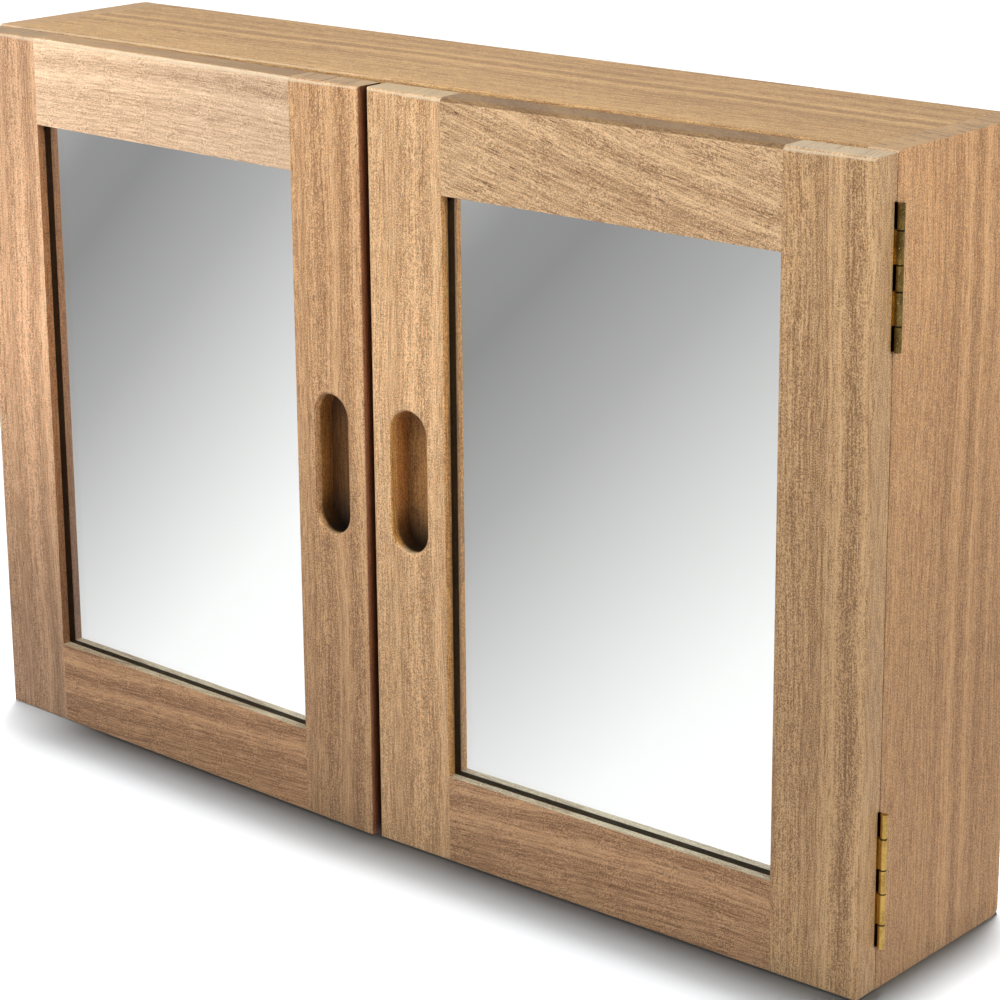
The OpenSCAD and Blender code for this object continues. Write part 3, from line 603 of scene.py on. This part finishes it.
def edge_shading():
    """A node group that shades a piece smooth and keeps its corners sharp."""
    corner = math.radians(32)
    tree = bpy.data.node_groups.new("corner_shading", "GeometryNodeTree")
    tree.interface.new_socket("Geometry", in_out="INPUT", socket_type="NodeSocketGeometry")
    tree.interface.new_socket("Geometry", in_out="OUTPUT", socket_type="NodeSocketGeometry")
    entry = tree.nodes.new("NodeGroupInput")
    leave = tree.nodes.new("NodeGroupOutput")
    normal = tree.nodes.new("GeometryNodeSetMeshNormal")
    angle = tree.nodes.new("GeometryNodeInputMeshEdgeAngle")
    sharp = tree.nodes.new("FunctionNodeCompare")
    sharp.inputs["B"].default_value = corner
    normal.inputs["Remove Custom"].default_value = True
    tree.links.new(angle.outputs["Unsigned Angle"], sharp.inputs["A"])
    tree.links.new(sharp.outputs["Result"], normal.inputs["Edge Sharpness"])
    tree.links.new(entry.outputs[0], normal.inputs["Mesh"])
    tree.links.new(normal.outputs["Mesh"], leave.inputs[0])
    return tree


def soften(node, width, shading):
    """Eases the arrises of a CAD node by width, as sandpaper or a tumbler leaves them."""
    piece = nodes[node]
    weld = piece.modifiers.new("weld", "WELD")
    weld.merge_threshold = 0.002 * MM
    flat = piece.modifiers.new("flat", "DECIMATE")
    flat.decimate_type = "DISSOLVE"
    flat.angle_limit = math.radians(0.5)
    bevel = piece.modifiers.new("arris", "BEVEL")
    bevel.limit_method = "ANGLE"
    bevel.angle_limit = math.radians(40)
    bevel.width = width
    bevel.segments = 2
    bevel.use_clamp_overlap = True
    smooth = piece.modifiers.new("shading", "NODES")
    smooth.node_group = shading
    level = piece.modifiers.new("level", "WEIGHTED_NORMAL")
    level.keep_sharp = True


# Mirrors

SILVER_THICKNESS = 0.1 * MM
SILVER_GAP = 0.02 * MM
SILVER_INSET = 0.8 * MM
GROUND_ARRIS = 0.4 * MM


def plate(name, low, high, place, arris):
    """A flat plate with ground edges, laid out on a shut door and carried to where the door stands."""
    mesh = bpy.data.meshes.new(name)
    shape = bmesh.new()
    bmesh.ops.create_cube(shape, size=1.0)
    size = high - low
    for vertex in shape.verts:
        vertex.co = Vector([low[i] + (vertex.co[i] + 0.5) * size[i] for i in range(3)])
    if arris:
        edges = shape.edges[:]
        bmesh.ops.bevel(shape, geom=edges, offset=arris, segments=2, affect="EDGES", profile=0.5)
    shape.transform(place)
    bmesh.ops.recalc_face_normals(shape, faces=shape.faces[:])
    shape.to_mesh(mesh)
    shape.free()
    return stand(name, mesh)


def mirror_pane(side, glass, silver):
    """Clear glass with a silvered sheet behind it, in place of the plain pane."""
    node = f"{side}_door_mirror"
    low, high = shut_box(node, side)
    place = hinge_frame(side)
    silver_front = high.y - SILVER_THICKNESS
    pane_high = Vector((high.x, silver_front - SILVER_GAP, high.z))
    pane = plate(f"{side}_mirror_glass", low, pane_high, place, GROUND_ARRIS)
    inset = Vector((SILVER_INSET, 0, SILVER_INSET))
    sheet_low = Vector((low.x, silver_front, low.z)) + inset
    sheet = plate(f"{side}_mirror_silver", sheet_low, high - inset, place, 0)
    for piece, material in ((pane, glass), (sheet, silver)):
        piece.data.materials.append(material)
        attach(piece, f"{side}_door")
    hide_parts(node)
    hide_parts(node)


# The studio

SENSOR = 36.0
FOCAL_PX = 2991.9
PICTURE_PX = 1000
CENTRE_PX_Y = 400.9
CAMERA_TURN = math.radians(41.11)
CAMERA_RISE = math.radians(15.69)
CAMERA_ROLL = math.radians(-0.49)
CAMERA_REACH = 1.6078
CAMERA_AIM = Vector((0.0924, -0.06566, 0.27764))

FLOOR_REACH = 8.0
FLOOR_Z = -0.3 * MM
WHITE = (1, 1, 1, 1)
PAPER = (0.53, 0.635, 0.745, 1)
DULL_PAPER = (0.30, 0.31, 0.33, 1)
PALE_SKY = (0.8, 0.8, 0.8, 1)
WARM_LIGHT = (1.0, 0.84, 0.725)

# What a mirror shows, from its top left corner to its bottom right one
ACROSS_TO_DOWN = 0.65
MIRRORED_GREYS = ((0, 0.57), (0.05, 0.355), (0.11, 0.278), (0.2, 0.258), (0.28, 0.325),
                  (0.375, 0.408), (0.56, 0.66), (0.74, 0.91), (0.9, 1))
CARD_LEVEL = 1.1
CARD_HEIGHT = 1 * MM
CARD_STEPS = 12


def set_camera():
    turn, rise = CAMERA_TURN, CAMERA_RISE
    back = Vector((math.sin(turn) * math.cos(rise), -math.cos(turn) * math.cos(rise), math.sin(rise)))
    right = (-back).cross(Vector((0, 0, 1))).normalized()
    up = right.cross(-back)
    tilted_right = right * math.cos(CAMERA_ROLL) + up * math.sin(CAMERA_ROLL)
    tilted_up = up * math.cos(CAMERA_ROLL) - right * math.sin(CAMERA_ROLL)
    lens = bpy.data.cameras.new("camera")
    lens.sensor_width = SENSOR
    lens.lens = FOCAL_PX / PICTURE_PX * SENSOR
    lens.shift_y = (CENTRE_PX_Y - PICTURE_PX / 2) / PICTURE_PX
    camera = stand("camera", lens)
    turned = Matrix((tilted_right, tilted_up, back)).transposed().to_4x4()
    camera.matrix_world = Matrix.Translation(CAMERA_AIM + back * CAMERA_REACH) @ turned
    bpy.context.scene.camera = camera
    return camera


def lay_floor():
    """A pale floor that keeps the cabinet's shadow and is white in the mirrors."""
    mesh = bpy.data.meshes.new("floor")
    ways = ((-1, -1), (1, -1), (1, 1), (-1, 1))
    mesh.from_pydata([(x * FLOOR_REACH, y * FLOOR_REACH, FLOOR_Z) for x, y in ways], [], [(0, 1, 2, 3)])
    floor = stand("floor", mesh)
    f = Finish("floor")
    path = f.node("LightPath", {}).outputs
    paper = f.node("BsdfDiffuse", {"Color": PAPER}).outputs[0]
    dull = f.node("BsdfDiffuse", {"Color": DULL_PAPER}).outputs[0]
    mirrored = f.math("ADD", path["Is Glossy Ray"], path["Is Transmission Ray"], clamp=True)
    seen = f.node("MixShader", {0: path["Is Camera Ray"], 1: dull, 2: paper}).outputs[0]
    f.show(f.node("MixShader", {0: mirrored, 1: seen, 2: f.emission(WHITE, 1.0)}).outputs[0])
    floor.data.materials.append(f.material)
    floor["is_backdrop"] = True
    return floor


def light_world(strength):
    """Dim light from all round, in a world that the camera sees as white."""
    world = bpy.data.worlds.new("studio")
    bpy.context.scene.world = world
    w = Nodes(world)
    path = w.node("LightPath", {}).outputs
    seen = w.plus(path["Is Camera Ray"], path["Is Glossy Ray"])
    seen = w.math("ADD", seen, path["Is Transmission Ray"], clamp=True)
    level = w.node("MapRange", {"Value": seen, "To Min": strength}).outputs[0]
    sky = w.mix(path["Is Camera Ray"], PALE_SKY, WHITE)
    w.show(w.node("Background", {"Color": sky, "Strength": level}).outputs[0], "OutputWorld")


def hang(name, data, way, only):
    """A lamp that shines a given way, and only on the pieces of one collection."""
    lamp = stand(name, data)
    lamp.rotation_euler = Vector(way).to_track_quat("-Z", "Y").to_euler()
    lamp.light_linking.receiver_collection = only
    return lamp


def softbox(name, place, aim, size, level, only):
    """A square lamp that gives a facing white card at its aim about the level asked for."""
    way = Vector(aim) - Vector(place)
    data = bpy.data.lights.new(name, "AREA")
    data.size = size
    data.energy = level * (math.pi * way.length) ** 2
    lamp = hang(name, data, way, only)
    lamp.location = place
    lamp.visible_glossy = False
    lamp.visible_transmission = False


def overhead_light(name, lean, spread, level, only, colour=(1, 1, 1)):
    """A broad light from above that shines a little to the right and forward, by lean a metre down."""
    rightward, forward = lean
    data = bpy.data.lights.new(name, "SUN")
    data.angle = math.radians(spread)
    data.energy = level * math.pi
    data.color = colour
    hang(name, data, (rightward, -forward, -1), only)


def corner_fill(spot, lift, reach, level, only, colour):
    """A small lamp that fades the shadow round one spot on the floor, out to reach."""
    lift = Vector(lift)
    data = bpy.data.lights.new("corner_fill", "SPOT")
    data.spot_size = 2 * math.atan(reach / lift.length)
    data.spot_blend = 1.0
    data.shadow_soft_size = 20 * MM
    data.energy = level * 4 * (math.pi * lift.length) ** 2
    data.color = colour
    lamp = hang("corner_fill", data, -lift, only)
    lamp.location = Vector(spot) + lift


def card_mesh(side, eye):
    """The part of the floor that an eye sees in a door's mirror, with the pane's own coordinates."""
    low, high = shut_box(f"{side}_door_mirror", side)
    place = hinge_frame(side)
    facing = (place.to_3x3() @ Vector((0, -1, 0))).normalized()
    eye_behind = eye - 2 * (eye - place @ low).dot(facing) * facing
    row_length = CARD_STEPS + 1
    spots, shades = [], []
    for row in range(row_length):
        for column in range(row_length):
            u, v = column / CARD_STEPS, row / CARD_STEPS
            shut = Vector((low.x + u * (high.x - low.x), low.y, low.z + v * (high.z - low.z)))
            ray = place @ shut - eye_behind
            spots.append(eye_behind + ray * (eye_behind.z - CARD_HEIGHT) / -ray.z)
            shades.append((u, v))
    faces = []
    for row in range(CARD_STEPS):
        for column in range(CARD_STEPS):
            first = row * row_length + column
            faces.append((first, first + 1, first + row_length + 1, first + row_length))
    mesh = bpy.data.meshes.new(f"{side}_grey_card")
    mesh.from_pydata(spots, [], faces)
    layer = mesh.uv_layers.new(name="pane")
    for loop in mesh.loops:
        layer.data[loop.index].uv = shades[loop.vertex_index]
    return mesh


def grey_card(side, camera):
    """A card on the floor where the camera sees it in a door's mirror, shaded from grey to white."""
    mesh = card_mesh(side, camera.matrix_world.translation)
    card = stand(mesh.name, mesh)
    card.visible_camera = False
    card.visible_diffuse = False
    card.visible_shadow = False
    f = Finish(mesh.name)
    pane = f.split(f.node("UVMap", {}, uv_map="pane").outputs[0])
    slant = f.plus(f.minus(1.0, pane[1]), f.times(pane[0], ACROSS_TO_DOWN))
    far = f.math("DIVIDE", slant, 1 + ACROSS_TO_DOWN)
    shade = f.ramp(far, [(where, grey(level)) for where, level in MIRRORED_GREYS])
    f.show(f.emission(shade, CARD_LEVEL))
    f.material.cycles.emission_sampling = "NONE"
    mesh.materials.append(f.material)
    card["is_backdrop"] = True


# Putting it together

for board, looks in BOARDS.items():
    wood(board, **looks)

bright_brass = brass("bright_brass", **BRIGHT)
zinc = steel("zinc_plate", light=srgb(205, 206, 208), dark=srgb(177, 178, 180))
white_plastic = moulded("catch_plastic", srgb(214, 208, 192), srgb(236, 231, 218), 0.38)
ferrite = moulded("catch_ferrite", srgb(40, 40, 42), srgb(62, 62, 64), 0.55)
hardware = (
    (("_hinge_screws", "catch_screws", "_shelf_pins"), bright_brass),
    (("_brads", "_strike_plate", "_strike_screw", "_poles"), zinc),
    (("_magnet",), ferrite),
    (("_housing",), white_plastic),
)
for name in nodes:
    for endings, material in hardware:
        if name.endswith(endings):
            dress(name, material)
for (height, kind), material in hinge_brass().items():
    for name in nodes:
        if height in name and name.endswith("_" + kind):
            dress(name, material)

corner_shading = edge_shading()
for board in BOARDS:
    soften(board, 0.35 * MM, corner_shading)
for name in nodes:
    if name.endswith(("_leaf", "_housing", "_strike_plate")):
        soften(name, 0.15 * MM, corner_shading)

glass = mirror_glass()
silver = mirror_silver()
for side in SIDES:
    mirror_pane(side, glass, silver)

bpy.context.scene.view_settings.view_transform = "Standard"
camera = set_camera()
floor = lay_floor()
light_world(0.13)
cabinet_only = bpy.data.collections.new("lit_by_softboxes")
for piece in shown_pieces():
    cabinet_only.objects.link(piece)
floor_only = bpy.data.collections.new("lit_from_above")
floor_only.objects.link(floor)
overhead_light("skylight", (0.05, 0.05), 12, 0.36, cabinet_only)
for part, forward in (("near", 0.05), ("far", 0.108)):
    overhead_light(f"floor_light_{part}", (0.048, forward), 5.6, 1.12, floor_only, WARM_LIGHT)
corner_fill((-0.34, -0.078, 0), (-0.35, -0.6, 0.55), 0.08, 1.3, floor_only, WARM_LIGHT)
softbox("front_softbox", place=(-0.25, -0.65, 0.95), aim=(-0.1, -0.06, 0.4), size=0.6, level=1.1,
        only=cabinet_only)
softbox("side_softbox", place=(1.7, -0.5, 1.1), aim=(0.33, 0, 0.25), size=0.8, level=0.63,
        only=cabinet_only)
for side in SIDES:
    grey_card(side, camera)
